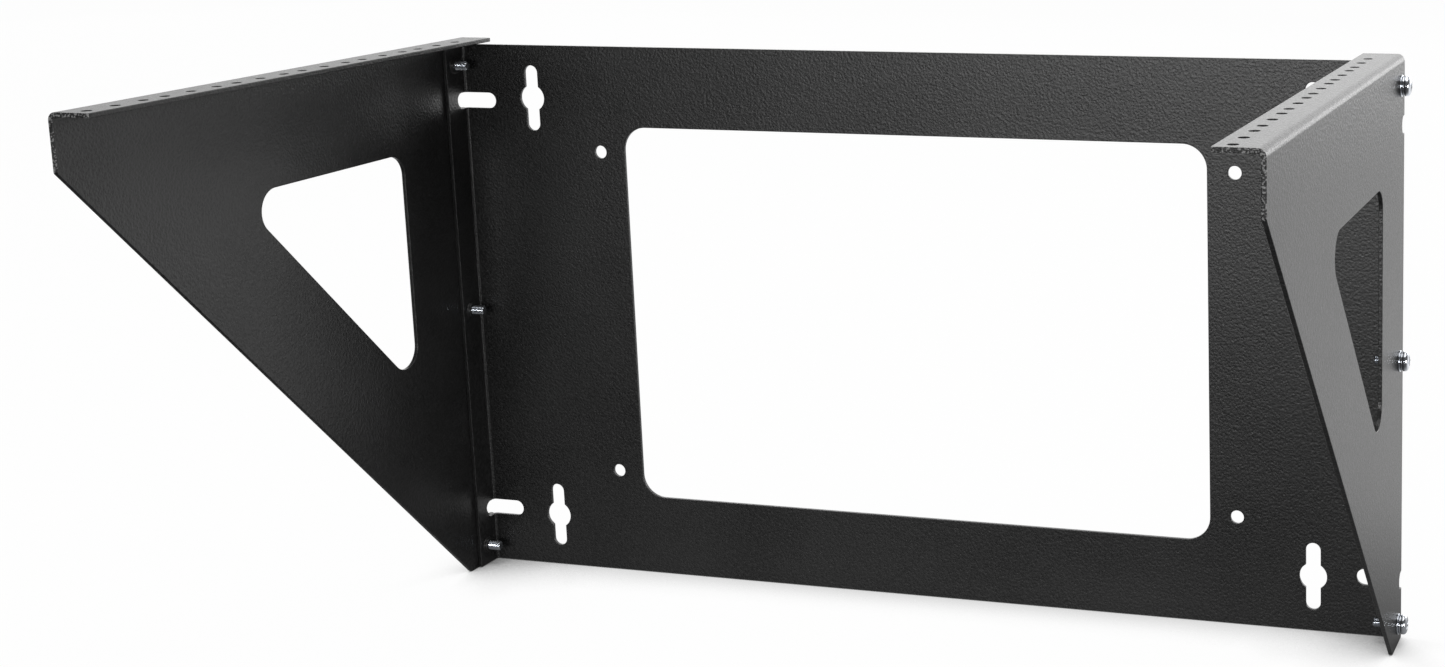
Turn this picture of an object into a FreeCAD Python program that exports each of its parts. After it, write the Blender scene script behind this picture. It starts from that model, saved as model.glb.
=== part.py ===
"""Open frame wall rack, six rack units, for equipment hung upright beside a wall.

A folded wall panel carries two triangular side brackets. Each bracket is one
sheet whose top edge is folded inward into a drilled rack rail. Three screws a
side, with a split washer and a flat washer, hold the bracket to the panel's
side flange, where they run into burred and tapped collars.

Frame: +X to the right, -Y away from the wall, +Z up. The wall is the plane
y = 0 and the origin is the middle of the wall panel's back face.
"""
import FreeCAD, Part
import math
import os
import Sketcher

# Driving dimensions in millimetres: sheet alias, value, meaning.
DIMENSIONS = [
    ("sheet_thk", 2.0, "thickness of the three steel sheets"),
    ("bend_r", 1.3, "inner radius of every bend"),
    ("rack_w", 491.2, "width over both brackets"),
    ("rail_w", 19.5, "width of the folded rail"),
    ("front_tall", 24.6, "height of the brackets' front edge"),
    ("front_r", 1.5, "rounding at the bottom of the front edge"),
    ("foot_len", 23.8, "length of the brackets' lowest edge"),
    ("foot_r", 3.0, "rounding at the front of the lowest edge"),
    ("hole_side", 13.05, "bracket's outer face to its rail holes, which stand 465.1 apart"),
    ("unit_len", 44.45, "one rack unit"),
    ("unit_first", 6.35, "end of a unit to its first hole"),
    ("unit_step", 15.875, "first hole to second, second to third"),
    ("unit_count", 6, "rack units along the rail"),
    ("rail_rear", 15.9, "wall to the end of the last rack unit"),
    ("rail_hole_d", 4.1, "rail hole, at the crest of its thread"),
    ("window_top", 52.2, "rail face to the window"),
    ("window_back", 56.0, "wall to the window"),
    ("window_band", 53.0, "sheet left between the window and the slope"),
    ("window_r", 10.5, "rounding of the window's corners"),
    ("panel_tall", 276.2, "height of the wall panel"),
    ("panel_drop", 3.3, "rail face to the panel's top edge"),
    ("foot_drop", 0.3, "panel's bottom edge to the brackets' lowest edge"),
    ("flange_d", 17.4, "wall to the front of the panel's side flange"),
    ("opening_side", 91.2, "panel's side face to the cable opening"),
    ("opening_end", 40.85, "panel's top or bottom edge to the cable opening"),
    ("opening_r", 12.0, "rounding of the cable opening"),
    ("wall_hole_d", 6.6, "round wall hole"),
    ("wall_hole_side", 77.7, "panel's side face to the round wall holes"),
    ("wall_hole_end", 53.95, "panel's top or bottom edge to the round wall holes"),
    ("key_side", 40.4, "panel's side face to the keyholes, which fit studs 406.4 apart"),
    ("key_end", 27.1, "panel's top or bottom edge to a keyhole's middle"),
    ("key_head_d", 13.5, "round middle of a keyhole"),
    ("key_slot_w", 7.3, "width of a keyhole's slot"),
    ("key_len", 33.5, "length of a keyhole's slot"),
    ("tie_slot_w", 8.0, "width of the slot across the panel's bend"),
    ("tie_slot_end", 28.9, "panel's top or bottom edge to that slot's middle"),
    ("tie_slot_side", 19.3, "panel's side face to the slot's end"),
    ("tie_slot_fwd", 9.2, "wall to the slot's end in the side flange"),
    ("notch_d", 6.0, "depth of the notch that clears the slot"),
    ("screw_wall", 10.2, "wall to the screws' axis"),
    ("screw_end", 10.1, "panel's top or bottom edge to the outer screws"),
    ("screw_d", 4.83, "screw thread"),
    ("screw_len", 13.5, "screw length under its head"),
    ("head_d", 9.3, "screw head"),
    ("head_tall", 2.9, "height of the screw head"),
    ("recess_w", 1.1, "width of one arm of the cross recess"),
    ("recess_len", 5.0, "length of one arm of the cross recess"),
    ("recess_deep", 2.0, "depth of the cross recess"),
    ("ring_od", 8.9, "split washer outside"),
    ("ring_thk", 1.1, "split washer thickness"),
    ("ring_split", 0.8, "split washer gap"),
    ("washer_od", 10.0, "flat washer outside"),
    ("washer_thk", 0.8, "flat washer thickness"),
    ("washer_hole", 5.3, "hole in both washers"),
    ("side_hole", 5.5, "screw hole in the bracket"),
    ("thread_play", 0.04, "screw thread to collar, all round"),
    ("collar_d", 8.0, "burred collar outside"),
    ("collar_tall", 1.5, "collar above the flange"),
    ("collar_r", 0.5, "rounding of the collar's rim"),
]


class Size:
    """A length that carries its value and the sheet expression it comes from."""

    def __init__(self, value, text):
        self.value = float(value)
        self.text = text

    def __add__(self, other):
        other = as_size(other)
        return Size(self.value + other.value, f"({self.text} + {other.text})")

    def __sub__(self, other):
        other = as_size(other)
        return Size(self.value - other.value, f"({self.text} - {other.text})")

    def __mul__(self, other):
        other = as_size(other)
        return Size(self.value * other.value, f"({self.text} * {other.text})")

    def __truediv__(self, other):
        other = as_size(other)
        return Size(self.value / other.value, f"({self.text} / {other.text})")

    def __neg__(self):
        return Size(-self.value, f"(-1 * {self.text})")


def as_size(number):
    """Leave a Size as it is and wrap a plain number."""
    if isinstance(number, Size):
        return number
    return Size(number, f"{float(number)}")


def slant(run, rise):
    """Length of the slanted side over a run and a rise."""
    length = math.hypot(run.value, rise.value)
    return Size(length, f"sqrt({run.text} ^ 2 + {rise.text} ^ 2)")


def fill_sheet(doc):
    """Write the driving dimensions and hand them back by alias."""
    sheet = doc.addObject("Spreadsheet::Sheet", "dims")
    sizes = {}
    for row, (alias, value, meaning) in enumerate(DIMENSIONS, 1):
        sheet.set(f"A{row}", meaning)
        sheet.set(f"B{row}", str(value))
        sheet.setAlias(f"B{row}", alias)
        sizes[alias] = Size(value, f"dims.{alias}")
    doc.recompute()
    return sizes


doc = FreeCAD.newDocument("wall_rack")
dim = fill_sheet(doc)

ZERO = as_size(0)
HALF_W = dim["rack_w"] / 2
INNER_W = HALF_W - dim["sheet_thk"]
FLANGE_IN = INNER_W - dim["sheet_thk"]
HALF_TALL = dim["panel_tall"] / 2
RAIL_Z = HALF_TALL + dim["panel_drop"]
FOOT_Z = -(HALF_TALL + dim["foot_drop"])
DEPTH = dim["unit_len"] * dim["unit_count"] + dim["rail_rear"]
OUTER_R = dim["bend_r"] + dim["sheet_thk"]
SCREW_Z = HALF_TALL - dim["screw_end"]
TIE_SLOT_Z = HALF_TALL - dim["tie_slot_end"]


# Sketch helpers


def origin_part(body, role):
    """Origin plane or axis of a body, by its role."""
    for item in body.Origin.OriginFeatures:
        if item.Role == role:
            return item
    raise ValueError(role)


def new_body(label):
    body = doc.addObject("PartDesign::Body", label)
    body.Label = label
    body.Placement = FreeCAD.Placement()
    return body


def new_sketch(body, name, role, offset=None):
    """Sketch on an origin plane, moved along the plane's normal by an offset."""
    sketch = body.newObject("Sketcher::SketchObject", name)
    sketch.AttachmentSupport = [(origin_part(body, role), "")]
    sketch.MapMode = "FlatFace"
    if offset is not None:
        shift = FreeCAD.Vector(0, 0, offset.value)
        sketch.AttachmentOffset = FreeCAD.Placement(shift, FreeCAD.Rotation())
        sketch.setExpression(".AttachmentOffset.Base.z", offset.text)
    return sketch


def bind(sketch, kind, where, size):
    """Add a dimension to a sketch and tie it to the sheet."""
    index = sketch.addConstraint(Sketcher.Constraint(kind, *where, size.value))
    sketch.setExpression(f"Constraints[{index}]", size.text)


def pin(sketch, geo, vertex, x, y):
    """Hold a point of the sketch at x, y from the origin."""
    bind(sketch, "DistanceX", (-1, 1, geo, vertex), x)
    bind(sketch, "DistanceY", (-1, 1, geo, vertex), y)


def circle(sketch, x, y, diameter):
    centre = FreeCAD.Vector(x.value, y.value, 0)
    geo = sketch.addGeometry(Part.Circle(centre, FreeCAD.Vector(0, 0, 1), diameter.value / 2))
    pin(sketch, geo, 3, x, y)
    bind(sketch, "Diameter", (geo,), diameter)


def slot(sketch, x, y, length, width, upright):
    """Round-ended slot centred on x, y, along the sketch's Y if upright, else X."""
    radius = width / 2
    reach = length / 2 - radius
    ends = []
    for sign in (1, -1):
        along = reach * sign
        px, py = (x, y + along) if upright else (x + along, y)
        start = 0 if upright else -math.pi / 2
        start += 0 if sign > 0 else math.pi
        rim = Part.Circle(FreeCAD.Vector(px.value, py.value, 0), FreeCAD.Vector(0, 0, 1), radius.value)
        ends.append((sketch.addGeometry(Part.ArcOfCircle(rim, start, start + math.pi)), px, py))
    (first, fx, fy), (second, sx, sy) = ends
    sides = []
    for tail, head in ((first, second), (second, first)):
        leaves = sketch.getPoint(tail, 2)
        arrives = sketch.getPoint(head, 1)
        sides.append(sketch.addGeometry(Part.LineSegment(leaves, arrives)))
    sketch.addConstraint([
        Sketcher.Constraint("Tangent", first, 2, sides[0], 1),
        Sketcher.Constraint("Tangent", sides[0], 2, second, 1),
        Sketcher.Constraint("Tangent", second, 2, sides[1], 1),
        Sketcher.Constraint("Tangent", sides[1], 2, first, 1),
        Sketcher.Constraint("Equal", first, second),
    ])
    pin(sketch, first, 3, fx, fy)
    pin(sketch, second, 3, sx, sy)
    bind(sketch, "Radius", (first,), radius)


def corner_arc(before, corner, after, radius):
    """Rounding of one corner: where it starts, where it ends, and its arc."""
    back = (before - corner).normalize()
    ahead = (after - corner).normalize()
    half = back.getAngle(ahead) / 2
    start = corner + back * (radius / math.tan(half))
    end = corner + ahead * (radius / math.tan(half))
    centre = corner + (back + ahead).normalize() * (radius / math.sin(half))
    turns_left = back.cross(ahead).z < 0
    low, high = (start, end) if turns_left else (end, start)
    angle = math.atan2(low.y - centre.y, low.x - centre.x)
    rim = Part.Circle(centre, FreeCAD.Vector(0, 0, 1), radius)
    arc = Part.ArcOfCircle(rim, angle, angle + math.pi - 2 * half)
    return start, end, arc, (1, 2) if turns_left else (2, 1)


def outline(sketch, corners):
    """Closed outline through corners (x, y, radius), sharp where radius is None."""
    points = [FreeCAD.Vector(x.value, y.value, 0) for x, y, radius in corners]
    count = len(corners)
    rounds = []
    for i, (x, y, radius) in enumerate(corners):
        if radius is None:
            rounds.append((points[i], points[i], None, None))
        else:
            rounds.append(corner_arc(points[i - 1], points[i], points[(i + 1) % count], radius.value))
    lines = []
    for i in range(count):
        leaves = rounds[i][1]
        arrives = rounds[(i + 1) % count][0]
        lines.append(sketch.addGeometry(Part.LineSegment(leaves, arrives)))
    for i, (x, y, radius) in enumerate(corners):
        into, out = lines[i - 1], lines[i]
        if radius is None:
            sketch.addConstraint(Sketcher.Constraint("Coincident", into, 2, out, 1))
            pin(sketch, out, 1, x, y)
            continue
        arc = sketch.addGeometry(rounds[i][2])
        first, last = rounds[i][3]
        mark = sketch.addGeometry(Part.Point(points[i]), True)
        sketch.addConstraint([
            Sketcher.Constraint("Tangent", into, 2, arc, first),
            Sketcher.Constraint("Tangent", arc, last, out, 1),
            Sketcher.Constraint("PointOnObject", mark, 1, into),
            Sketcher.Constraint("PointOnObject", mark, 1, out),
        ])
        pin(sketch, mark, 1, x, y)
        bind(sketch, "Radius", (arc,), radius)


def axis_line(sketch, y, reach):
    """Construction line along X at height y, for turning a profile about."""
    start = FreeCAD.Vector(0, y.value, 0)
    end = FreeCAD.Vector(reach.value, y.value, 0)
    geo = sketch.addGeometry(Part.LineSegment(start, end), True)
    pin(sketch, geo, 1, ZERO, y)
    pin(sketch, geo, 2, reach, y)


# Feature helpers


def feature(body, kind, name, profile):
    item = body.newObject(f"PartDesign::{kind}", name)
    item.Profile = profile
    return item


def pad(body, name, sketch, length, symmetric=False, reverse=False):
    item = feature(body, "Pad", name, sketch)
    item.setExpression("Length", length.text)
    item.SideType = "Symmetric" if symmetric else "One side"
    item.Reversed = reverse
    doc.recompute()
    return item


def cut_through(body, name, sketch):
    """Cut the sketch right through the body, both ways."""
    before = body.Shape.Volume
    item = feature(body, "Pocket", name, sketch)
    item.Type = "ThroughAll"
    item.SideType = "Symmetric"
    doc.recompute()
    if body.Shape.Volume >= before:
        raise ValueError(f"{name} cuts nothing")
    return item


def cut_deep(body, name, sketch, depth, reverse=False):
    """Cut the sketch to a depth, against its normal unless reversed."""
    before = body.Shape.Volume
    item = feature(body, "Pocket", name, sketch)
    item.setExpression("Length", depth.text)
    item.Reversed = reverse
    doc.recompute()
    if body.Shape.Volume >= before:
        raise ValueError(f"{name} cuts nothing")
    return item


def turn(body, kind, name, sketch):
    """Turn a profile a full circle about its construction line."""
    item = feature(body, kind, name, sketch)
    item.ReferenceAxis = (sketch, ["Axis0"])
    item.Angle = 360
    doc.recompute()
    return item


def mirror_across(body, name, originals):
    """Repeat features on the other side of the rack's middle plane."""
    item = body.newObject("PartDesign::Mirrored", name)
    item.Originals = originals
    item.MirrorPlane = (origin_part(body, "YZ_Plane"), [""])
    body.Tip = item
    doc.recompute()
    return item


def six_places(body, name, originals):
    """Repeat features from the lowest left screw place at all six of them."""
    repeat = body.newObject("PartDesign::MultiTransform", name)
    repeat.Originals = originals
    upward = body.newObject("PartDesign::LinearPattern", name + "_up")
    upward.Direction = (origin_part(body, "Z_Axis"), [""])
    upward.setExpression("Length", (SCREW_Z * 2).text)
    upward.Occurrences = 3
    across = body.newObject("PartDesign::Mirrored", name + "_across")
    across.MirrorPlane = (origin_part(body, "YZ_Plane"), [""])
    repeat.Transformations = [upward, across]
    body.Tip = repeat
    doc.recompute()
    return repeat


# Wall panel


def panel_profile(sketch):
    """Section of the folded panel seen from above: a wide, shallow channel."""
    thk = dim["sheet_thk"]
    front = -dim["flange_d"]
    outline(sketch, [
        (-INNER_W, ZERO, OUTER_R),
        (INNER_W, ZERO, OUTER_R),
        (INNER_W, front, None),
        (FLANGE_IN, front, None),
        (FLANGE_IN, -thk, dim["bend_r"]),
        (-FLANGE_IN, -thk, dim["bend_r"]),
        (-FLANGE_IN, front, None),
        (-INNER_W, front, None),
    ])


def panel_openings(body):
    """Cable opening, four wall holes and four double-ended keyholes."""
    wide = INNER_W - dim["opening_side"]
    tall = HALF_TALL - dim["opening_end"]
    radius = dim["opening_r"]
    sketch = new_sketch(body, "cable_opening_sketch", "XZ_Plane")
    outline(sketch, [
        (-wide, -tall, radius),
        (wide, -tall, radius),
        (wide, tall, radius),
        (-wide, tall, radius),
    ])
    cut_through(body, "cable_opening", sketch)

    holes = new_sketch(body, "wall_hole_sketch", "XZ_Plane")
    heads = new_sketch(body, "keyhole_head_sketch", "XZ_Plane")
    slots = new_sketch(body, "keyhole_slot_sketch", "XZ_Plane")
    hole_x, hole_z = INNER_W - dim["wall_hole_side"], HALF_TALL - dim["wall_hole_end"]
    for sx in (-1, 1):
        for sz in (-1, 1):
            circle(holes, hole_x * sx, hole_z * sz, dim["wall_hole_d"])
            key_x, key_z = (INNER_W - dim["key_side"]) * sx, (HALF_TALL - dim["key_end"]) * sz
            circle(heads, key_x, key_z, dim["key_head_d"])
            slot(slots, key_x, key_z, dim["key_len"], dim["key_slot_w"], True)
    cut_through(body, "wall_holes", holes)
    cut_through(body, "keyhole_heads", heads)
    cut_through(body, "keyhole_slots", slots)


def bend_slots(body):
    """Slots that wrap round the panel's bends: a leg in the panel, a leg in the flange."""
    leg = new_sketch(body, "slot_panel_leg_sketch", "XZ_Plane")
    past = OUTER_R * 2
    length = dim["tie_slot_side"] + past
    middle = INNER_W - dim["tie_slot_side"] + length / 2
    for sx in (-1, 1):
        for sz in (-1, 1):
            slot(leg, middle * sx, TIE_SLOT_Z * sz, length, dim["tie_slot_w"], False)
    cut_deep(body, "slot_panel_leg", leg, OUTER_R, reverse=True)

    side = new_sketch(body, "slot_flange_leg_sketch", "YZ_Plane", -INNER_W)
    length = dim["tie_slot_fwd"] + past
    middle = -dim["tie_slot_fwd"] + length / 2
    for sz in (-1, 1):
        slot(side, middle, TIE_SLOT_Z * sz, length, dim["tie_slot_w"], False)
    flange_leg = cut_deep(body, "slot_flange_leg", side, OUTER_R, reverse=True)
    mirror_across(body, "slot_flange_legs", [flange_leg])


def tapped_collars(body):
    """Burred collars inside the side flanges, with the screws' tapped holes."""
    root = -(FLANGE_IN + dim["sheet_thk"] / 2)
    rim = -(FLANGE_IN - dim["collar_tall"])
    axis_y = -dim["screw_wall"]
    bore = dim["screw_d"] / 2 + dim["thread_play"]

    wall = new_sketch(body, "collar_sketch", "XY_Plane", -SCREW_Z)
    axis_line(wall, axis_y, root)
    outline(wall, [
        (root, axis_y + bore, None),
        (rim, axis_y + bore, None),
        (rim, axis_y + dim["collar_d"] / 2, dim["collar_r"]),
        (root, axis_y + dim["collar_d"] / 2, None),
    ])
    collar = turn(body, "Revolution", "collar", wall)

    hole = new_sketch(body, "tapped_hole_sketch", "XY_Plane", -SCREW_Z)
    axis_line(hole, axis_y, root)
    outline(hole, [
        (-INNER_W, axis_y, None),
        (rim, axis_y, None),
        (rim, axis_y + bore, None),
        (-INNER_W, axis_y + bore, None),
    ])
    tapped = turn(body, "Groove", "tapped_hole", hole)
    six_places(body, "tapped_collars", [collar, tapped])


def back_panel():
    body = new_body("back_panel")
    sketch = new_sketch(body, "panel_section", "XY_Plane")
    panel_profile(sketch)
    pad(body, "folded_panel", sketch, dim["panel_tall"], symmetric=True)
    panel_openings(body)
    bend_slots(body)
    tapped_collars(body)
    return body


# Side brackets


def bracket_profile(sketch, side):
    """Section of a bracket seen from the front: an upright web and its rail."""
    web_out, web_in = HALF_W * side, INNER_W * side
    tip = (HALF_W - dim["rail_w"]) * side
    thk = dim["sheet_thk"]
    outline(sketch, [
        (web_out, FOOT_Z, None),
        (web_out, RAIL_Z, OUTER_R),
        (tip, RAIL_Z, None),
        (tip, RAIL_Z - thk, None),
        (web_in, RAIL_Z - thk, dim["bend_r"]),
        (web_in, FOOT_Z, None),
    ])


def slope():
    """Fall of the sloped lower edge for each unit of depth."""
    return (RAIL_Z - FOOT_Z - dim["front_tall"]) / (DEPTH - dim["foot_len"])


def trim_slope(body):
    """Cut the sheet away under the slope from the front edge to the foot."""
    sketch = new_sketch(body, "slope_sketch", "YZ_Plane")
    below = FOOT_Z - dim["foot_len"]
    beyond = -(DEPTH + dim["foot_len"])
    above = RAIL_Z - dim["front_tall"] / 2
    outline(sketch, [
        (-DEPTH, above, None),
        (-DEPTH, RAIL_Z - dim["front_tall"], dim["front_r"]),
        (-dim["foot_len"], FOOT_Z, dim["foot_r"]),
        (-dim["foot_len"] / 2, FOOT_Z, None),
        (-dim["foot_len"] / 2, below, None),
        (beyond, below, None),
        (beyond, above, None),
    ])
    cut_through(body, "slope", sketch)


def cut_window(body):
    """Three-cornered window whose long side runs along the slope."""
    fall = slope()
    top = RAIL_Z - dim["window_top"]
    back = -dim["window_back"]
    rise = dim["window_band"] * slant(fall, as_size(1))
    front = (dim["window_top"] - dim["front_tall"] + rise) / fall - DEPTH
    low = RAIL_Z - dim["front_tall"] - (back + DEPTH) * fall + rise
    sketch = new_sketch(body, "window_sketch", "YZ_Plane")
    outline(sketch, [
        (front, top, dim["window_r"]),
        (back, low, dim["window_r"]),
        (back, top, dim["window_r"]),
    ])
    cut_through(body, "window", sketch)


def cut_web_holes(body):
    """Screw holes, and rear notches that leave the panel's slots open."""
    holes = new_sketch(body, "side_hole_sketch", "YZ_Plane")
    for place in (-1, 0, 1):
        circle(holes, -dim["screw_wall"], SCREW_Z * place, dim["side_hole"])
    cut_through(body, "side_holes", holes)
    notches = new_sketch(body, "notch_sketch", "YZ_Plane")
    for sz in (-1, 1):
        slot(notches, ZERO, TIE_SLOT_Z * sz, dim["notch_d"] * 2, dim["tie_slot_w"], False)
    cut_through(body, "notches", notches)


def drill_rail(body, side):
    """Rack holes: three to a unit, the unit repeated along the rail."""
    sketch = new_sketch(body, "rail_hole_sketch", "XY_Plane")
    for place in (0, 1, 2):
        y = dim["unit_first"] + dim["unit_step"] * place - DEPTH
        circle(sketch, (HALF_W - dim["hole_side"]) * side, y, dim["rail_hole_d"])
    one_unit = cut_through(body, "rail_unit", sketch)
    pattern = body.newObject("PartDesign::LinearPattern", "rail_units")
    pattern.Originals = [one_unit]
    pattern.Direction = (origin_part(body, "Y_Axis"), [""])
    span = dim["unit_len"] * (dim["unit_count"] - 1)
    pattern.setExpression("Length", span.text)
    pattern.setExpression("Occurrences", dim["unit_count"].text)
    body.Tip = pattern
    doc.recompute()


def side_bracket(label, side):
    """One bracket, on the right for side 1 and on the left for side -1."""
    body = new_body(label)
    sketch = new_sketch(body, "bracket_section", "XZ_Plane")
    bracket_profile(sketch, side)
    pad(body, "folded_bracket", sketch, DEPTH)
    trim_slope(body)
    cut_window(body)
    cut_web_holes(body)
    drill_rail(body, side)
    return body


# Fasteners, each drawn at the lowest left place and repeated at all six


def lathe_sketch(body, name):
    """Sketch through the lowest screw's axis, with that axis drawn in it."""
    sketch = new_sketch(body, name, "XY_Plane", -SCREW_Z)
    axis_line(sketch, -dim["screw_wall"], -HALF_W)
    return sketch


def washer_ring(label, inner_x, thickness, diameter):
    """Ring round the screw whose inner face stands at inner_x."""
    body = new_body(label)
    sketch = lathe_sketch(body, label + "_section")
    axis_y = -dim["screw_wall"]
    low = axis_y + dim["washer_hole"] / 2
    high = axis_y + diameter / 2
    outline(sketch, [
        (inner_x, low, None),
        (inner_x, high, None),
        (inner_x - thickness, high, None),
        (inner_x - thickness, low, None),
    ])
    return body, turn(body, "Revolution", label + "_ring", sketch)


def flat_washers():
    body, ring = washer_ring("flat_washers", -HALF_W, dim["washer_thk"], dim["washer_od"])
    six_places(body, "flat_washer_places", [ring])
    return body


def spring_washers():
    """Split washers: a ring with a slanting saw cut at the top."""
    inner_x = -(HALF_W + dim["washer_thk"])
    body, ring = washer_ring("spring_washers", inner_x, dim["ring_thk"], dim["ring_od"])
    sketch = new_sketch(body, "split_sketch", "XY_Plane", dim["ring_od"] - SCREW_Z)
    half = dim["ring_split"] / 2
    lean = dim["ring_thk"] / 4
    middle = -dim["screw_wall"]
    outer_x = inner_x - dim["ring_thk"]
    outline(sketch, [
        (inner_x, middle - lean - half, None),
        (inner_x, middle - lean + half, None),
        (outer_x, middle + lean + half, None),
        (outer_x, middle + lean - half, None),
    ])
    split = cut_deep(body, "split", sketch, dim["ring_od"])
    six_places(body, "spring_washer_places", [ring, split])
    return body


def side_screws():
    """Pan head screws with a cross recess, their ends inside the rack."""
    body = new_body("side_screws")
    sketch = lathe_sketch(body, "screw_section")
    axis_y = -dim["screw_wall"]
    seat = -(HALF_W + dim["washer_thk"] + dim["ring_thk"])
    top = seat - dim["head_tall"]
    end = seat + dim["screw_len"]
    chamfer = dim["screw_d"] / 8
    shank = axis_y + dim["screw_d"] / 2
    outline(sketch, [
        (top, axis_y, None),
        (top, axis_y + dim["head_d"] / 2, dim["head_tall"] * 0.7),
        (seat, axis_y + dim["head_d"] / 2, dim["head_tall"] * 0.1),
        (seat, shank, None),
        (end - chamfer, shank, None),
        (end, shank - chamfer, None),
        (end, axis_y, None),
    ])
    screw = turn(body, "Revolution", "screw", sketch)

    cross = new_sketch(body, "recess_sketch", "YZ_Plane", top)
    half = dim["recess_w"] / 2
    arm = dim["recess_len"] / 2
    low_z = -SCREW_Z
    corners = cross_corners(half, arm)
    outline(cross, [(axis_y + y, low_z + z, None) for y, z in corners])
    recess = cut_deep(body, "recess", cross, dim["recess_deep"], reverse=True)
    recess.TaperAngle = -14
    six_places(body, "screw_places", [screw, recess])
    return body


def cross_corners(half, arm):
    """Twelve corners of a plus sign, anticlockwise from its right arm."""
    return [
        (arm, -half), (arm, half), (half, half), (half, arm),
        (-half, arm), (-half, half), (-arm, half), (-arm, -half),
        (-half, -half), (-half, -arm), (half, -arm), (half, -half),
    ]


def check(bodies):
    """Stop if any object failed or any sub-part is not a sound solid."""
    for item in doc.Objects:
        if "Invalid" in item.State or "Error" in item.State:
            raise ValueError(f"{item.Name} failed: {item.State}")
    for body in bodies:
        shape = body.Shape
        if shape.isNull() or not shape.isValid():
            raise ValueError(f"{body.Label} has no sound shape")


def main():
    bodies = [
        back_panel(),
        side_bracket("left_bracket", -1),
        side_bracket("right_bracket", 1),
        side_screws(),
        spring_washers(),
        flat_washers(),
    ]
    doc.recompute()
    check(bodies)
    os.makedirs("parts", exist_ok=True)
    for body in bodies:
        body.Shape.exportStep(f"parts/{body.Label}.step")
        print(body.Label, len(body.Shape.Solids), "solids", round(body.Shape.Volume), "mm3")


main()
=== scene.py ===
"""Studio picture of an open frame wall rack: coated sheet steel and zinc screws.

Every piece is built in the frame of the solids, from sizes in millimetres.
"""
import math

import bmesh
import bpy
from mathutils import Euler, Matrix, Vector, geometry


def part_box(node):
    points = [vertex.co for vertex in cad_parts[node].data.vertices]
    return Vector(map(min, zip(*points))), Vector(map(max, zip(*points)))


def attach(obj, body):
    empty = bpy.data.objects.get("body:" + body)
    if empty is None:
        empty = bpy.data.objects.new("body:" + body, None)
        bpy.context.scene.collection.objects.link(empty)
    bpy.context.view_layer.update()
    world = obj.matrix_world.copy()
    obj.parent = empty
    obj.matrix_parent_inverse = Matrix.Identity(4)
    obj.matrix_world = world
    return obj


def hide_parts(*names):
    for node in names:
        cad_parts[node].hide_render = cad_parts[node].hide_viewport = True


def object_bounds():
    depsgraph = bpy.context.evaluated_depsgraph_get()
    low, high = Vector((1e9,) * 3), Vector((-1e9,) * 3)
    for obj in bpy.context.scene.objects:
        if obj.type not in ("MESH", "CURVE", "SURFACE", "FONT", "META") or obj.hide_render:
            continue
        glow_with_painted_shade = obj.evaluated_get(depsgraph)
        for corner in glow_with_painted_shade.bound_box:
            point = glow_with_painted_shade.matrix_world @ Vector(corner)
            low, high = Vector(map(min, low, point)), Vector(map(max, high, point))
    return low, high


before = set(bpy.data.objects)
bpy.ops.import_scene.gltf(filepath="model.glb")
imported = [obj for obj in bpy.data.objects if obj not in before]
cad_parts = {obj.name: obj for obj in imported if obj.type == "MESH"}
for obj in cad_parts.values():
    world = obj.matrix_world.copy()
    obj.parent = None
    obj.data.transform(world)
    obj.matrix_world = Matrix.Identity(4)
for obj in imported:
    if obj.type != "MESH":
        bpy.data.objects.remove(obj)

CAD_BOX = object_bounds()
MM = 0.001

# Camera, fitted to the rack holes and edges of the photograph with less lens shift
# than the free fit, because the other views keep the shift and would lose the object
PHOTO_W, PHOTO_H = 1445, 667
FOCAL_PX = 2204.0
CENTRE_PX = (1160.0, 205.0)
CAMERA_AT = (408.17 * MM, -991.68 * MM, 255.39 * MM)
CAMERA_TURN = (79.648, 0.754, 15.594)
SENSOR = 36.0

# Outer sizes, read from the solids
HALF_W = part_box("right_bracket")[1][0] / MM
RAIL_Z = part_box("right_bracket")[1][2] / MM
FOOT_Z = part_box("right_bracket")[0][2] / MM
DEPTH = -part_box("right_bracket")[0][1] / MM
INNER_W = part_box("back_panel")[1][0] / MM
HALF_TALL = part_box("back_panel")[1][2] / MM

# Sheet
THK = 2.0
BEND_IN = 1.3
BEND_OUT = BEND_IN + THK
EDGE_R = 0.35
CORNER_R = 0.8
# Length that each bend takes in the flat sheet, before fold() maps it onto the arc
BEND_RUN = 5.0

# Brackets
RAIL_W = 19.5
FRONT_TALL, FRONT_R = 24.6, 1.5
FOOT_LEN, FOOT_R = 23.8, 3.0
WINDOW_TOP, WINDOW_BACK, WINDOW_BAND, WINDOW_R = 52.2, 56.0, 53.0, 10.5
HOLE_SIDE = 13.05
UNIT_LEN, UNIT_FIRST, UNIT_STEP, UNIT_COUNT = 44.45, 6.35, 15.875, 6
RAIL_CREST_D = 4.1
SIDE_HOLE_D = 5.5
NOTCH_DEEP, NOTCH_R, SLOT_W = 6.0, 3.9, 8.0

# Panel
FLANGE_D = 17.4
OPENING_X, OPENING_Z, OPENING_R = INNER_W - 91.2, HALF_TALL - 40.85, 12.0
WALL_HOLE_X, WALL_HOLE_Z, WALL_HOLE_D = INNER_W - 77.7, HALF_TALL - 53.95, 6.6
KEY_X, KEY_Z = INNER_W - 40.4, HALF_TALL - 27.1
KEY_HEAD_D, KEY_SLOT_W, KEY_LEN = 13.5, 7.3, 33.5
TIE_Z, TIE_X, TIE_Y = HALF_TALL - 28.9, INNER_W - 19.3, 9.2
COLLAR_HOLE_D = 6.6

# Threads of the rails and the screws
PITCH = 0.794
RAIL_THREAD_DEEP, RAIL_THREAD_FADE = 0.25, 0.3
SCREW_THREAD_DEEP = 0.6 * PITCH
THREAD_SLOPE, THREAD_ROOT = 1.3, 0.15
ROWS_PER_TURN = 10

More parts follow.
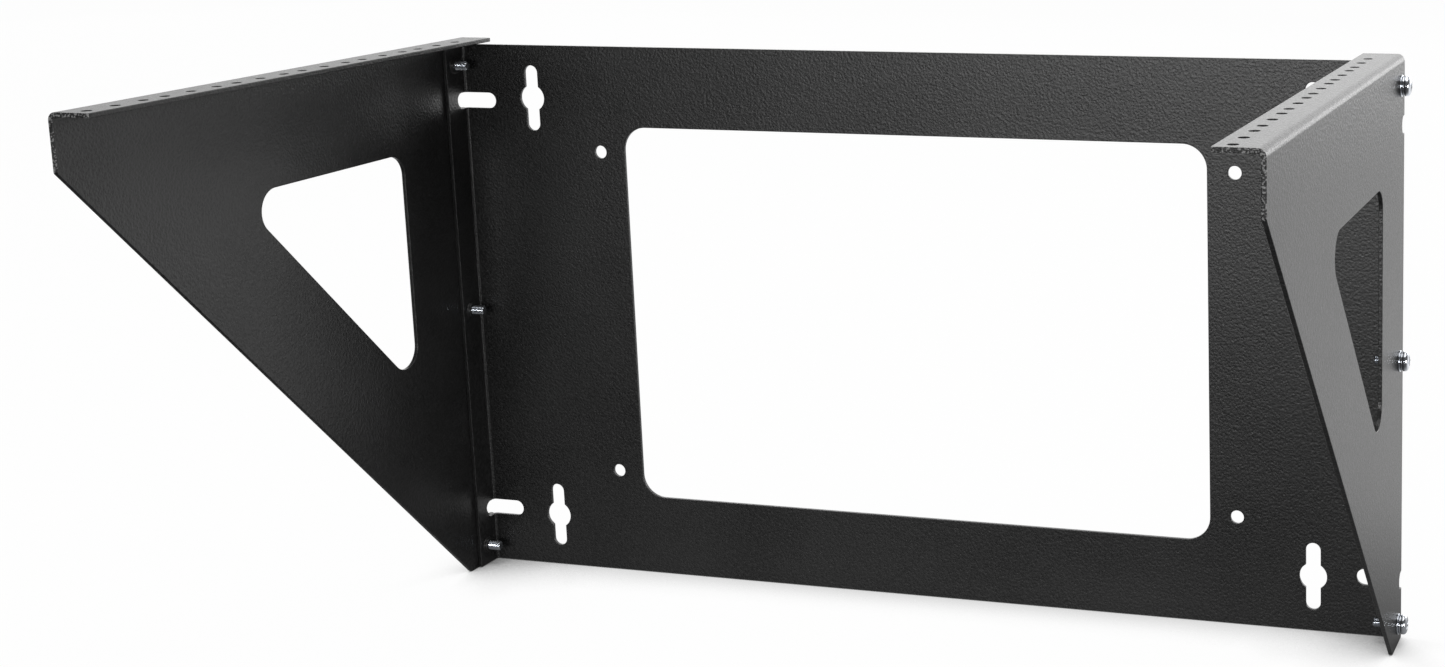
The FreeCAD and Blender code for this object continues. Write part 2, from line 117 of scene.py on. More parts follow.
# Fasteners
SCREW_Y = -10.2
SCREW_TO_END = 10.1
SCREW_ZS = (SCREW_TO_END - HALF_TALL, 0.0, HALF_TALL - SCREW_TO_END)
SCREW_D, SCREW_LEN, SCREW_CHAMFER = 4.83, 13.5, 0.75
HEAD_D, HEAD_TALL = 9.3, 2.9
CROWN_DROP, CROWN_R = 0.22, 3.2
SHOULDER_FALL, SHOULDER_TALL, SHOULDER_R = 1.9, 1.68, 2.75
NECK_D, SHANK_D = 5.2, 4.6
# Cross recess: half width and length of an arm above the head and at the bottom
CROSS_OVER, CROSS_DEEP = 0.3, 2.0
CROSS_MOUTH, CROSS_END = (0.62, 2.6), (0.12, 1.5)
CROSS_TURNS = (0.35, 1.1, -0.2, 0.7, 0.15, -0.55)
FLAT_OD, FLAT_THK, WASHER_HOLE = 10.0, 0.8, 5.3
SPLIT_OD, SPLIT_THK, SPLIT_GAP = 8.9, 1.1, 0.8
WASHER_EDGE_R, FLAT_RIM_R, SPLIT_RIM_R = 0.12, 0.25, 0.18
COLLAR_OD, COLLAR_TALL, COLLAR_BORE, COLLAR_FLARE = 8.0, 1.5, 4.91, 0.4

INSIDE_WITH_HOLES = 2


# Flat outlines: closed lists of points with the sheet on their left


def arc(x, y, radius, start, end, steps):
    """Points along an arc, both ends included, angles in degrees."""
    angles = [math.radians(start + (end - start) * i / steps) for i in range(steps + 1)]
    return [Vector((x + radius * math.cos(a), y + radius * math.sin(a))) for a in angles]


def rounded(corners, steps=8):
    """Outline through corners (x, y, radius), each one rounded."""
    points = []
    for i, (x, y, radius) in enumerate(corners):
        corner = Vector((x, y))
        back = (Vector(corners[i - 1][:2]) - corner).normalized()
        ahead = (Vector(corners[(i + 1) % len(corners)][:2]) - corner).normalized()
        half = back.angle(ahead) / 2
        centre = corner + (back + ahead).normalized() * radius / math.sin(half)
        first = corner + back * radius / math.tan(half) - centre
        turn = (math.pi - 2 * half) * (1 if back.cross(ahead) < 0 else -1)
        for k in range(steps + 1):
            angle = turn * k / steps
            c, s = math.cos(angle), math.sin(angle)
            spoke = Vector((first.x * c - first.y * s, first.x * s + first.y * c))
            points.append(centre + spoke)
    return points


def round_hole(x, y, diameter, steps=40):
    return arc(x, y, diameter / 2, 0, -360, steps)[:-1]


def slot_hole(x0, x1, y, width):
    """Slot along X from end to end."""
    r = width / 2
    return arc(x0 + r, y, r, -90, -270, 16) + arc(x1 - r, y, r, 90, -90, 16)


def key_hole(x, y):
    """Round middle with a slot up and down from it."""
    r, half, reach = KEY_SLOT_W / 2, KEY_HEAD_D / 2, KEY_LEN / 2 - KEY_SLOT_W / 2
    open_at = math.degrees(math.acos(r / half))
    right = arc(x, y, half, open_at, -open_at, 20)
    left = arc(x, y, half, 180 + open_at, 180 - open_at, 20)
    return right + arc(x, y - reach, r, 0, -180, 16) + left + arc(x, y + reach, r, 180, 0, 16)


def supported(points, reach=0.6):
    """Add points near both ends of long runs, so that their shading stays flat."""
    result = []
    for a, b in zip(points, points[1:] + points[:1]):
        result.append(a)
        run = b - a
        if run.length > 4 * reach:
            step = run.normalized() * reach
            result += [a + step, b - step]
    return result


def side_normals(points):
    """At each point, the direction out of the sheet, and how far a mitre stretches it."""
    result = []
    for i, point in enumerate(points):
        into = (point - points[i - 1]).normalized()
        out = (points[(i + 1) % len(points)] - point).normalized()
        normal = Vector((into.y + out.y, -into.x - out.x)).normalized()
        result.append((normal, 1 / max(0.5, normal.dot(Vector((into.y, -into.x))))))
    return result


# Sheet metal: a flat plate with rounded cut edges, then its bends


def edge_rings(steps=3):
    """Sections of the cut edge, from the top face round to the bottom.

    Each one is an inset, a height, and the normal's parts outward and up.
    """
    rings = []
    for i in range(steps + 1):
        angle = math.pi / 2 * i / steps
        inset, drop = EDGE_R * (1 - math.sin(angle)), EDGE_R * (1 - math.cos(angle))
        rings.append((inset, THK - drop, math.sin(angle), math.cos(angle)))
    return rings + [(inset, THK - height, out, -up) for inset, height, out, up in reversed(rings)]


def thread_rows(rows=14):
    """Heights through the sheet at which a tapped hole's wall is shaped."""
    return [THK - EDGE_R - (THK - 2 * EDGE_R) * i / rows for i in range(1, rows)]


def thread_section(height, share):
    """Section of a tapped wall at a height and a share of a turn, as in edge_rings()."""
    phase = (height / PITCH + share) % 1.0
    above, below = height - EDGE_R, THK - EDGE_R - height
    painted_light_falloff = min(1.0, above / RAIL_THREAD_FADE, below / RAIL_THREAD_FADE)
    depth = RAIL_THREAD_DEEP * painted_light_falloff
    slope = 2 * depth / PITCH * (1 if phase < 0.5 else -1)
    return depth * (1 - abs(2 * phase - 1)), height, 1.0, slope


def wall_sections(tapped, share):
    """Sections down the cut edge at one point of a loop."""
    ends = edge_rings()
    half = len(ends) // 2
    middle = [thread_section(height, share) for height in thread_rows()] if tapped else []
    return ends[:half] + middle + ends[half:]


def plate(loops):
    """Flat sheet inside the first loop and outside the others, lying on z = 0.

    Each loop comes with whether its wall is tapped. The layer "lean" keeps the
    normal that each point was built with, through the fold.
    """
    bm = bmesh.new()
    lean = bm.verts.layers.float_vector.new("lean")
    tops, bottoms = [], []
    for loop, tapped in loops:
        points = supported(loop)
        columns = []
        for i, (normal, stretch) in enumerate(side_normals(points)):
            column = []
            for inset, height, out, up in wall_sections(tapped, i / len(points)):
                at = points[i] - normal * inset * stretch
                vert = bm.verts.new((at.x, at.y, height))
                vert[lean] = Vector((normal.x * out, normal.y * out, up)).normalized()
                column.append(vert)
            columns.append(column)
        for a, b in zip(columns[-1:] + columns[:-1], columns):
            for k in range(len(a) - 1):
                bm.faces.new((a[k], a[k + 1], b[k + 1], b[k]))
        tops.append([column[0] for column in columns])
        bottoms.append([column[-1] for column in columns])
    fill_face(bm, tops, False)
    fill_face(bm, bottoms, True)
    return bm


def fill_face(bm, rims, flip):
    """Triangles between the rims of one face of the sheet."""
    verts = [vert for rim in rims for vert in rim]
    edges, start = [], 0
    for rim in rims:
        count = len(rim)
        edges += [(start + i, start + (i + 1) % count) for i in range(count)]
        start += count
    flat = [Vector(vert.co[:2]) for vert in verts]
    outer = list(range(len(rims[0])))
    filled = geometry.delaunay_2d_cdt(flat, edges, [outer], INSIDE_WITH_HOLES, 1e-6)
    faces, sources = filled[2], filled[3]
    for face in faces:
        corners = [verts[sources[i][0]] for i in face]
        bm.faces.new(reversed(corners) if flip else corners)


def fold(bm, cuts, place):
    """Cut the flat sheet across at the given x, then move each point and its normal.

    Faces that then look against their points' normals are turned round.
    """
    for x in cuts:
        everything = bm.verts[:] + bm.edges[:] + bm.faces[:]
        bmesh.ops.bisect_plane(
            bm, geom=everything, dist=1e-5, plane_co=(x, 0, 0), plane_no=(1, 0, 0))
    lean = bm.verts.layers.float_vector["lean"]
    for vert in bm.verts:
        at, normal = place(vert.co, vert[lean])
        vert.co = Vector(at) * MM
        vert[lean] = Vector(normal).normalized()
    for face in bm.faces:
        face.normal_update()
        if face.normal.dot(sum((vert[lean] for vert in face.verts), Vector())) < 0:
            face.normal_flip()


def bend_cuts(start, steps=10):
    return [start + BEND_RUN * i / steps for i in range(steps + 1)]


def bend(past, height, along, up):
    """Fold a strip by a right angle: where a point lands, and which way its normal turns.

    past is the distance past the start of the bend. The answer is the distance
    on, the distance out, and the normal's parts in the same two directions.
    """
    turn = math.pi / 2 * min(1.0, max(0.0, past / BEND_RUN))
    s, c = math.sin(turn), math.cos(turn)
    radius = BEND_IN + height
    on = min(past, 0.0) + radius * s
    out = radius * c - BEND_IN - max(0.0, past - BEND_RUN)
    return on, out, along * c + up * s, up * c - along * s


def sheet_object(name, bm, materials, picks=None):
    """Object from a folded sheet, shaded by the normals it was built with."""
    lean = bm.verts.layers.float_vector["lean"]
    normals = [vert[lean].copy() for vert in bm.verts]
    item = new_object(name, bm, materials)
    if picks:
        for face in item.data.polygons:
            face.material_index = picks(face.center / MM)
    item.data.normals_split_custom_set_from_vertices(normals)
    return item


def new_object(name, bm, materials):
    mesh = bpy.data.meshes.new(name)
    bm.to_mesh(mesh)
    bm.free()
    for material in materials:
        mesh.materials.append(material)
    mesh.polygons.foreach_set("use_smooth", [True] * len(mesh.polygons))
    item = bpy.data.objects.new(name, mesh)
    bpy.context.scene.collection.objects.link(item)
    return item


# Wall panel

PANEL_BEND = INNER_W - BEND_OUT


def panel_flange(y):
    """Distance along the flat panel of a place on its side flange."""
    return PANEL_BEND + BEND_RUN - y - BEND_OUT


def panel_loops():
    """Outline of the flat panel and all that is cut out of it."""
    side = panel_flange(-FLANGE_D)
    loops = [rounded([
        (-side, -HALF_TALL, CORNER_R), (side, -HALF_TALL, CORNER_R),
        (side, HALF_TALL, CORNER_R), (-side, HALF_TALL, CORNER_R),
    ])]
    loops.append(rounded([
        (-OPENING_X, -OPENING_Z, OPENING_R), (-OPENING_X, OPENING_Z, OPENING_R),
        (OPENING_X, OPENING_Z, OPENING_R), (OPENING_X, -OPENING_Z, OPENING_R),
    ], 16))
    for sx in (-1, 1):
        for sz in (-1, 1):
            loops.append(round_hole(WALL_HOLE_X * sx, WALL_HOLE_Z * sz, WALL_HOLE_D))
            loops.append(key_hole(KEY_X * sx, KEY_Z * sz))
            ends = sorted((TIE_X * sx, panel_flange(-TIE_Y) * sx))
            loops.append(slot_hole(*ends, TIE_Z * sz, SLOT_W))
        for z in SCREW_ZS:
            loops.append(round_hole(panel_flange(SCREW_Y) * sx, z, COLLAR_HOLE_D))
    return loops


def place_panel(at, normal):
    """Where a point of the flat panel goes, with its normal."""
    side = math.copysign(1.0, at.x)
    x, out, lean_x, lean_y = bend(abs(at.x) - PANEL_BEND, at.z, normal.x * side, normal.z)
    return ((PANEL_BEND + x) * side, out - THK, at.y), (lean_x * side, lean_y, normal.y)


def wall_panel(material):
    bm = plate([(loop, False) for loop in panel_loops()])
    cuts = bend_cuts(PANEL_BEND)
    fold(bm, [-x for x in cuts] + cuts, place_panel)
    piece = sheet_object("wall_panel", bm, [material])
    keep(piece, "back_panel")


# Side brackets

BRACKET_BEND = RAIL_Z - BEND_OUT


def rail_place(from_side):
    """Distance along the flat bracket of a place on its rail."""
    return BRACKET_BEND + BEND_RUN + from_side - BEND_OUT


def bracket_outline():
    """Web and rail laid flat: X runs up the web and on along the rail, Y is depth."""
    tip = rail_place(RAIL_W)
    corners = [
        (FOOT_Z, 0.0, CORNER_R),
        (FOOT_Z, -FOOT_LEN, FOOT_R),
        (RAIL_Z - FRONT_TALL, -DEPTH, FRONT_R),
        (tip, -DEPTH, CORNER_R),
        (tip, 0.0, CORNER_R),
    ]
    for z in (TIE_Z, -TIE_Z):
        high, low = z + SLOT_W / 2, z - SLOT_W / 2
        corners += [
            (high, 0.0, CORNER_R), (high, -NOTCH_DEEP, NOTCH_R),
            (low, -NOTCH_DEEP, NOTCH_R), (low, 0.0, CORNER_R),
        ]
    return rounded(corners)


def window_outline():
    """Three-cornered window whose long side runs along the slope."""
    fall = (RAIL_Z - FOOT_Z - FRONT_TALL) / (DEPTH - FOOT_LEN)
    top, back = RAIL_Z - WINDOW_TOP, -WINDOW_BACK
    rise = WINDOW_BAND * math.hypot(fall, 1)
    front = (WINDOW_TOP - FRONT_TALL + rise) / fall - DEPTH
    low = RAIL_Z - FRONT_TALL - (back + DEPTH) * fall + rise
    return rounded([(top, front, WINDOW_R), (low, back, WINDOW_R), (top, back, WINDOW_R)], 16)


def bracket_loops():
    """Outline, window, screw holes and tapped rack holes, each with whether it is tapped."""
    loops = [(bracket_outline(), False), (window_outline(), False)]
    loops += [(round_hole(z, SCREW_Y, SIDE_HOLE_D), False) for z in SCREW_ZS]
    for unit in range(UNIT_COUNT):
        for step in range(3):
            y = UNIT_LEN * unit + UNIT_FIRST + UNIT_STEP * step - DEPTH
            loops.append((round_hole(rail_place(HOLE_SIDE), y, RAIL_CREST_D), True))
    return loops


def side_bracket(name, side, materials):
    def place(at, normal):
        z, out, lean_z, lean_x = bend(at.x - BRACKET_BEND, at.z, normal.x, normal.z)
        point = ((HALF_W - THK + out) * side, at.y, BRACKET_BEND + z)
        return point, (lean_x * side, normal.y, lean_z)

    def rough(at):
        """Material slot of a face: 1 on the front cut edge and the tapped holes' walls."""
        front = at.y < EDGE_R - DEPTH
        in_rail = abs(at.z - RAIL_Z + THK / 2) < THK / 2 - EDGE_R
        near_hole = abs(abs(at.x) - HALF_W + HOLE_SIDE) < RAIL_CREST_D
        return int(front or in_rail and near_hole)

    bm = plate(bracket_loops())
    fold(bm, bend_cuts(BRACKET_BEND), place)
    piece = sheet_object(name + "_sheet", bm, materials, rough)
    keep(piece, name)


# Fasteners, turned about the six screw axes


def screw_places():
    return [(side, z) for side in (-1, 1) for z in SCREW_ZS]


def screw_point(side, z, out, across, up):
    """Point by a screw's axis: out from the bracket, and across and up from the axis."""
    return Vector((side * (HALF_W + out), SCREW_Y + across, z + up)) * MM


def turned(bm, rows, side, z, closed=False, steps=40):
    """Skin through rings, one for each row: a distance out and a radius.

    A radius may be a function of the angle.
    """
    rings = []
    for out, radius in rows:
        ring = []
        for k in range(steps):
            angle = 2 * math.pi * k / steps
            r = radius(angle) if callable(radius) else radius
            at = screw_point(side, z, out, r * math.cos(angle), r * math.sin(angle))
            ring.append(bm.verts.new(at))
        rings.append(ring)
    pairs = list(zip(rings, rings[1:]))
    if closed:
        pairs.append((rings[-1], rings[0]))
    for a, b in pairs:
        for k in range(steps):
            bm.faces.new((a[k - 1], b[k - 1], b[k], a[k]))
    if not closed:
        bm.faces.new(rings[0])
        bm.faces.new(rings[-1])


def section(corners, steps=4):
    """Rows for a ring from the corners of its section."""
    return [tuple(point) for point in rounded(corners, steps)]


def flat_washer(bm, side, z):
    low, high, edge = WASHER_HOLE / 2, FLAT_OD / 2, WASHER_EDGE_R
    corners = [
        (0.0, low, edge), (FLAT_THK, low, edge),
        (FLAT_THK, high, FLAT_RIM_R), (0.0, high, edge),
    ]
    turned(bm, section(corners), side, z, closed=True)


def split_washer(bm, side, z, steps=44):
    """Ring of square section with a slanting saw cut."""
    low, high = WASHER_HOLE / 2, SPLIT_OD / 2
    start, end = FLAT_THK, FLAT_THK + SPLIT_THK
    rows = section([
        (start, low, WASHER_EDGE_R), (end, low, WASHER_EDGE_R),
        (end, high, SPLIT_RIM_R), (start, high, SPLIT_RIM_R),
    ], 3)
    middle = (low + high) / 2
    half_gap = SPLIT_GAP / 2 / middle
    rings = []
    for k in range(steps + 1):
        ring = []
        for out, r in rows:
            lean = (out - start - SPLIT_THK / 2) / 2 / middle
            angle = math.pi / 2 + half_gap + (2 * math.pi - 2 * half_gap) * k / steps + lean
            at = screw_point(side, z, out, r * math.cos(angle), r * math.sin(angle))
            ring.append(bm.verts.new(at))
        rings.append(ring)
    for a, b in zip(rings, rings[1:]):
        for i in range(len(rows)):
            bm.faces.new((a[i - 1], b[i - 1], b[i], a[i]))
    bm.faces.new(rings[0])
    bm.faces.new(rings[-1])


def collar(bm, side, z):
    """Burred collar that stands up from the flange round a tapped hole.

    Its root lies within the flange's thickness and flares where it leaves the flange.
    """
    back, face, rim = -THK - 0.1, -2 * THK, -2 * THK - COLLAR_TALL
    bore, wall = COLLAR_BORE / 2, COLLAR_OD / 2
    corners = [
        (back, bore, 0.05),
        (back, wall + COLLAR_FLARE, 0.05),
        (face + 0.02, wall + COLLAR_FLARE, 0.01),
        (face - COLLAR_FLARE, wall, 0.3),
        (rim, wall, 0.5),
        (rim, bore, 0.2),
    ]
    turned(bm, section(corners), side, z, closed=True)


def threaded_shank(bm, side, z):
    """Shank with its thread, from inside the washers to the chamfered end."""
    start, end = FLAT_THK, FLAT_THK + SPLIT_THK - SCREW_LEN
    crest = SCREW_D / 2
    count = int((start - end) / PITCH * ROWS_PER_TURN)

    def radius(out):
        def at_angle(angle):
            phase = (out / PITCH + side * angle / (2 * math.pi)) % 1.0
            wave = THREAD_SLOPE * (1 - abs(2 * phase - 1)) - THREAD_ROOT
            thread = crest - SCREW_THREAD_DEEP * (1 - min(1.0, max(0.0, wave)))
            return min(thread, crest - SCREW_CHAMFER + (out - end))
        return at_angle

    outs = [start + (end - start) * i / count for i in range(count + 1)]
    turned(bm, [(out, radius(out)) for out in outs], side, z)


def screw_head(bm, side, z):
    """Pan head with a low crown, and the plain start of the shank."""
    seat = FLAT_THK + SPLIT_THK
    top, rim = seat + HEAD_TALL, HEAD_D / 2
    skirt = top - SHOULDER_FALL
    crown = [(top - CROWN_DROP * (r / CROWN_R) ** 2, r) for r in (0.4, 1.0, 1.8, 2.6)]
    shoulder = []
    for degrees in range(10, 91, 10):
        c, s = math.cos(math.radians(degrees)), math.sin(math.radians(degrees))
        shoulder.append((skirt + SHOULDER_TALL * c, SHOULDER_R + (rim - SHOULDER_R) * s))
    under = [
        (seat + 0.25, rim), (seat + 0.07, rim - 0.07), (seat, rim - 0.25),
        (seat, NECK_D / 2), (0.0, SHANK_D / 2),
    ]
    turned(bm, crown + shoulder + under, side, z, steps=48)


def cross_point(side, z, out, y, up, turn):
    """Point of the recess, turned about the screw's axis."""
    c, s = math.cos(turn), math.sin(turn)
    return screw_point(side, z, out, y * c - up * s, y * s + up * c)


def cross_cutter(bm, side, z, turn):
    """Tapered plus sign that sinks into a screw's head."""
    top = FLAT_THK + SPLIT_THK + HEAD_TALL
    rings = []
    for out, (half, arm) in ((top + CROSS_OVER, CROSS_MOUTH), (top - CROSS_DEEP, CROSS_END)):
        corners = [
            (arm, -half), (arm, half), (half, half), (half, arm), (-half, arm), (-half, half),
            (-arm, half), (-arm, -half), (-half, -half), (-half, -arm), (half, -arm), (half, -half),
        ]
        ring = []
        for y, up in corners:
            ring.append(bm.verts.new(cross_point(side, z, out, y, up, turn)))
        rings.append(ring)
    a, b = rings
    for i in range(len(a)):
        bm.faces.new((a[i - 1], b[i - 1], b[i], a[i]))
    bm.faces.new(a)
    bm.faces.new(b)


def closed_mesh(build, turns=None):
    """Mesh of one thing built at every screw place, at its own turn where turns are given."""
    bm = bmesh.new()
    for index, (side, z) in enumerate(screw_places()):
        if turns:
            build(bm, side, z, turns[index])
        else:
            build(bm, side, z)
    bmesh.ops.recalc_face_normals(bm, faces=bm.faces)
    return bm


def creased(item, degrees=40):
    item.data.set_sharp_from_angle(angle=math.radians(degrees))
    return item


def fastener(name, build, node, material):
    piece = creased(new_object(name, closed_mesh(build), [material]))
    keep(piece, node)


def screws(material):
    """Heads with their recesses cut, joined to the threaded shanks."""
    heads = new_object("heads", closed_mesh(screw_head), [material])
    cutter = new_object("cutter", closed_mesh(cross_cutter, CROSS_TURNS), [material])
    cut = heads.modifiers.new("recess", "BOOLEAN")
    cut.operation, cut.solver, cut.object = "DIFFERENCE", "EXACT", cutter
    bpy.context.view_layer.update()
    seen = heads.evaluated_get(bpy.context.evaluated_depsgraph_get())
    bm = closed_mesh(threaded_shank)
    bm.from_mesh(seen.to_mesh())
    seen.to_mesh_clear()
    for helper in (heads, cutter):
        bpy.data.objects.remove(helper)
    piece = creased(new_object("screw_set", bm, [material]))
    keep(piece, "side_screws")


def keep(piece, node):
    """Give a piece its slot and, where a CAD node is named, let it stand for that node."""
    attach(piece, "root")
    if node:
        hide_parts(node)


# Node helpers


class Nodes:
    """Short names for building one node tree."""

    def __init__(self, tree):
        self.tree = tree
        tree.nodes.clear()

    def add(self, kind, inputs=None, **props):
        node = self.tree.nodes.new(kind)
        for name, value in props.items():
            setattr(node, name, value)
        for key, value in (inputs or {}).items():
            if isinstance(value, bpy.types.NodeSocket):
                self.tree.links.new(value, node.inputs[key])
            else:
                node.inputs[key].default_value = value
        return node

    def math(self, operation, *values):
        inputs = dict(enumerate(values))
        return self.add("ShaderNodeMath", inputs, operation=operation).outputs[0]

    def noise(self, at, scale, detail, **inputs):
        inputs = {"Vector": at, "Scale": scale, "Detail": detail, **inputs}
        return self.add("ShaderNodeTexNoise", inputs).outputs

    def cells(self, at, scale):
        inputs = {"Vector": at, "Scale": scale}
        return self.add("ShaderNodeTexVoronoi", inputs, feature="SMOOTH_F1").outputs["Distance"]

    def bump(self, height, distance, strength=1.0):
        inputs = {"Strength": strength, "Distance": distance, "Height": height}
        return self.add("ShaderNodeBump", inputs).outputs["Normal"]

    def ramp(self, value, *stops):
        node = self.add("ShaderNodeValToRGB", {"Fac": value})
        band = node.color_ramp
        for element, (at, level) in zip(band.elements, (stops[0], stops[-1])):
            element.position = at
            element.color = (level, level, level, 1)
        for at, level in stops[1:-1]:
            band.elements.new(at).color = (level, level, level, 1)
        return node.outputs["Color"]

    def mix(self, factor, a, b):
        """Mix of two colours, which are sockets 6 and 7 of the node and its output 2."""
        inputs = {0: factor, 6: a, 7: b}
        return self.add("ShaderNodeMix", inputs, data_type="RGBA").outputs[2]

    def blend(self, factor, a, b):
        """Mix of two numbers, which are sockets 2 and 3 of the node and its output 0."""
        return self.add("ShaderNodeMix", {0: factor, 2: a, 3: b}).outputs[0]


def new_material(name):
    material = bpy.data.materials.new(name)
    material.use_nodes = True
    return material, Nodes(material.node_tree)


def grey(level, tint=(1.0, 1.0, 1.0)):
    return (level * tint[0], level * tint[1], level * tint[2], 1.0)


# Materials

COAT_IOR = 1.5


def powder_coat(name, level, rough, bump_height):
    """Black textured powder coat: a fine leathery skin over slow changes of tone."""
    warp_by = (0.0008, 0.0008, 0.0008)
    material, n = new_material(name)
    at = n.add("ShaderNodeTexCoord").outputs["Object"]
    warp = n.noise(at, 400.0, 2.0)["Color"]
    bent = n.add("ShaderNodeVectorMath", {0: warp, 1: warp_by, 2: at}, operation="MULTIPLY_ADD")
    cells = n.cells(bent.outputs[0], 850.0)
    grain = n.noise(at, 1700.0, 3.0, Roughness=0.6)["Fac"]
    cloud = n.noise(at, 14.0, 4.0)["Fac"]
    height = n.math("ADD", n.math("MULTIPLY", cells, 0.9), n.math("MULTIPLY", grain, 0.5))
    normal = n.bump(height, bump_height * MM)

    tone = n.math("ADD", n.math("MULTIPLY", height, 0.5), n.math("MULTIPLY", cloud, 0.5))
    light = n.ramp(tone, (0.35, 0.0), (0.65, 1.0))
    colour = n.mix(light, grey(level * 0.15), grey(level * 2.6))
    roughness = n.ramp(grain, (0.3, rough - 0.04), (0.7, rough + 0.06))
    shader = n.add("ShaderNodeBsdfPrincipled", {
        "Base Color": colour,
        "Roughness": roughness,
        "Normal": normal,
        "IOR": COAT_IOR,
    })
    n.add("ShaderNodeOutputMaterial", {"Surface": shader.outputs[0]})
    return material


def rough_edge(name, level):
    """Coat on the rough cut ends of the brackets: beads of powder with bright flecks."""
    material, n = new_material(name)
    at = n.add("ShaderNodeTexCoord").outputs["Object"]
    beads = n.cells(at, 1250.0)
    grit = n.noise(at, 1700.0, 4.0)["Fac"]
    relief = n.math("SUBTRACT", grit, beads)
    normal = n.bump(relief, 0.25 * MM)
    fleck = n.ramp(relief, (0.06, 0.0), (0.26, 1.0))
    shader = n.add("ShaderNodeBsdfPrincipled", {
        "Base Color": n.mix(fleck, grey(level * 0.5), grey(0.2)),
        "Roughness": n.ramp(grit, (0.3, 0.25), (0.7, 0.55)),
        "Normal": normal,
        "IOR": COAT_IOR,
    })
    n.add("ShaderNodeOutputMaterial", {"Surface": shader.outputs[0]})
    return material


def zinc(name, level, rough):
    """Bright zinc plating with a cool cast and fine scuffs."""
    material, n = new_material(name)
    at = n.add("ShaderNodeTexCoord").outputs["Object"]
    scuff = n.noise(at, 1800.0, 3.0)["Fac"]
    dull, bright = grey(level * 0.85, (0.94, 0.98, 1.06)), grey(level * 1.1, (0.96, 1.0, 1.05))
    colour = n.mix(scuff, dull, bright)
    roughness = n.ramp(scuff, (0.3, rough - 0.06), (0.7, rough + 0.1))
    normal = n.bump(scuff, 0.02 * MM, strength=0.15)
    shader = n.add("ShaderNodeBsdfPrincipled", {
        "Base Color": colour,
        "Metallic": 1.0,
        "Roughness": roughness,
        "Normal": normal,
    })
    n.add("ShaderNodeOutputMaterial", {"Surface": shader.outputs[0]})
    return material


def dress_rack():
    panel = powder_coat("panel_coat", 0.006, 0.36, 0.12)
    bracket = powder_coat("bracket_coat", 0.006, 0.33, 0.15)
    front = rough_edge("front_edge_coat", 0.005)
    plating = zinc("zinc_plate", 0.8, 0.16)
    wall_panel(panel)
    side_bracket("left_bracket", -1, [bracket, front])
    side_bracket("right_bracket", 1, [bracket, front])
    screws(plating)
    fastener("split_washer_set", split_washer, "spring_washers", plating)
    fastener("flat_washer_set", flat_washer, "flat_washers", plating)
    collars = creased(new_object("collar_set", closed_mesh(collar), [panel]))
    keep(collars, None)


# Studio


def pale_surface(name, level):
    """Pale surface that shows white, with a soft shadow where the object is near.

    The camera sees it glow, and its shadow is painted into the glow from ambient
    occlusion. Seen in a reflection its glow is painted dim in front of the object
    and bright behind it, a painted light falloff. All other light meets it as a
    matt surface.
    """
    material, n = new_material(name)
    path = n.add("ShaderNodeLightPath").outputs
    mirrored = n.math("MAXIMUM", path["Is Glossy Ray"], path["Is Transmission Ray"])
    seen = n.math("MAXIMUM", path["Is Camera Ray"], mirrored)
    at = n.add("ShaderNodeTexCoord").outputs["Object"]
    depth = n.add("ShaderNodeSeparateXYZ", {"Vector": at}).outputs["Y"]
    span = {"Value": depth, "From Min": -0.5, "From Max": 1.5}
    reach = n.add("ShaderNodeMapRange", span).outputs[0]
    # Painted light: the glow that reflections see is painted dim in front of the object and bright
    # behind it, as a light falloff
    painted_light_falloff = n.ramp(
        reach, (0.0, 0.06), (0.2, 0.08), (0.27, 0.4), (0.35, 0.9), (0.5, 1.0), (1.0, 0.85))
    open_sky = n.add("ShaderNodeAmbientOcclusion", {"Distance": 0.07}, samples=8).outputs["AO"]
    # Painted shadow: the glow is darkened where ambient occlusion finds the object near
    painted_contact_shadow = n.ramp(open_sky, (0.2, 0.1), (0.5, 0.7), (0.75, 1.0))
    painted_reflection_shade = n.math("MULTIPLY", painted_contact_shadow, painted_light_falloff)
    glow_with_painted_shade = n.blend(mirrored, painted_contact_shadow, painted_reflection_shade)
    matt = n.add("ShaderNodeBsdfDiffuse", {"Color": grey(level)}).outputs[0]
    glow = n.add("ShaderNodeEmission", {"Color": glow_with_painted_shade, "Strength": 1.0}).outputs[0]
    share = n.math("MULTIPLY", seen, 0.98)
    both = n.add("ShaderNodeMixShader", {0: share, 1: matt, 2: glow}).outputs[0]
    n.add("ShaderNodeOutputMaterial", {"Surface": both})
    return material


def stage_mesh(name, corners, faces, material):
    mesh = bpy.data.meshes.new(name)
    mesh.from_pydata(corners, [], faces)
    mesh.materials.append(material)
    item = bpy.data.objects.new(name, mesh)
    bpy.context.scene.collection.objects.link(item)
    return item


def floor_and_backdrop():
    """A floor that curves up into a wall behind the object."""
    base = CAD_BOX[0][2]
    side, near, far, top = 9.0, -4.0, 5.0, 5.0
    sweep, steps = 1.5, 12
    path = [(near, base), (far - sweep, base)]
    for i in range(1, steps + 1):
        turn = math.pi / 2 * i / steps
        path.append((far - sweep + sweep * math.sin(turn), base + sweep - sweep * math.cos(turn)))
    path.append((far, base + top))
    corners = [(x, y, z) for y, z in path for x in (-side, side)]
    faces = [(2 * i, 2 * i + 1, 2 * i + 3, 2 * i + 2) for i in range(len(path) - 1)]
    item = stage_mesh("floor", corners, faces, pale_surface("pale_floor", 0.85))
    for face in item.data.polygons:
        face.use_smooth = True


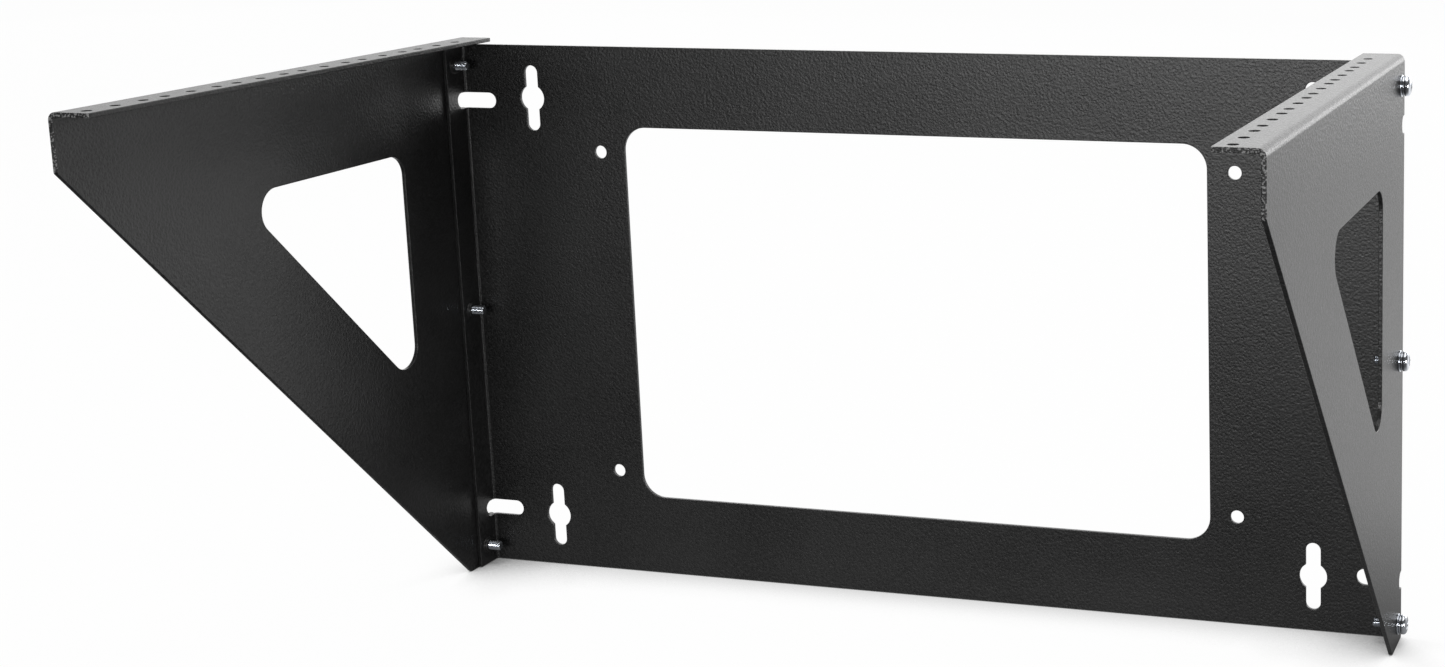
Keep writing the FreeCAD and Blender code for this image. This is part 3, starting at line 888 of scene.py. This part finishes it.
def soft_lamp(name, at, aim, size, power):
    light = bpy.data.lights.new(name, "AREA")
    light.shape = "RECTANGLE"
    light.size, light.size_y = size
    light.energy = power
    lamp = bpy.data.objects.new(name, light)
    bpy.context.scene.collection.objects.link(lamp)
    lamp.location = at
    lamp.rotation_euler = (Vector(aim) - Vector(at)).to_track_quat("-Z", "Y").to_euler()


def world_light():
    world = bpy.data.worlds.new("studio")
    bpy.context.scene.world = world
    world.use_nodes = True
    n = Nodes(world.node_tree)
    seen = n.add("ShaderNodeLightPath").outputs["Is Camera Ray"]
    strength = n.math("ADD", n.math("MULTIPLY", seen, 0.9), 0.1)
    shine = n.add("ShaderNodeBackground", {"Color": grey(1.0), "Strength": strength})
    n.add("ShaderNodeOutputWorld", {"Surface": shine.outputs[0]})


def camera():
    data = bpy.data.cameras.new("camera")
    data.sensor_fit = "HORIZONTAL"
    data.sensor_width = SENSOR
    data.lens = FOCAL_PX / PHOTO_W * SENSOR
    data.shift_x = (PHOTO_W / 2 - CENTRE_PX[0]) / PHOTO_W
    data.shift_y = (CENTRE_PX[1] - PHOTO_H / 2) / PHOTO_W
    data.clip_start = 0.05
    data.clip_end = 60.0
    view = bpy.data.objects.new("camera", data)
    bpy.context.scene.collection.objects.link(view)
    view.location = CAMERA_AT
    view.rotation_euler = Euler([math.radians(turn) for turn in CAMERA_TURN], "XYZ")
    bpy.context.scene.camera = view


# Name, place, what it is aimed at, width and height, watts
LAMPS = (
    ("top_softbox", (0.2, 0.2, 1.7), (0.0, -0.1, 0.0), (2.2, 1.6), 22.0),
    ("right_softbox", (1.9, -0.85, 0.12), (0.0, -0.1, 0.0), (0.35, 0.5), 14.0),
    ("rear_softbox", (0.2, 2.6, 0.9), (0.0, -0.1, 0.1), (4.2, 1.4), 25.0),
    ("rear_left_softbox", (-3.0, 2.4, 0.7), (-0.2, -0.1, 0.1), (2.4, 1.4), 8.0),
    ("rear_right_softbox", (1.0, 2.3, 0.2), (0.3, -0.1, 0.1), (0.9, 0.6), 4.5),
    ("front_softbox", (-0.25, -2.4, 0.2), (0.1, 0.0, 0.05), (1.2, 0.6), 21.0),
)

dress_rack()
floor_and_backdrop()
for lamp_values in LAMPS:
    soft_lamp(*lamp_values)
world_light()
camera()
bpy.context.scene.view_settings.view_transform = "Standard"
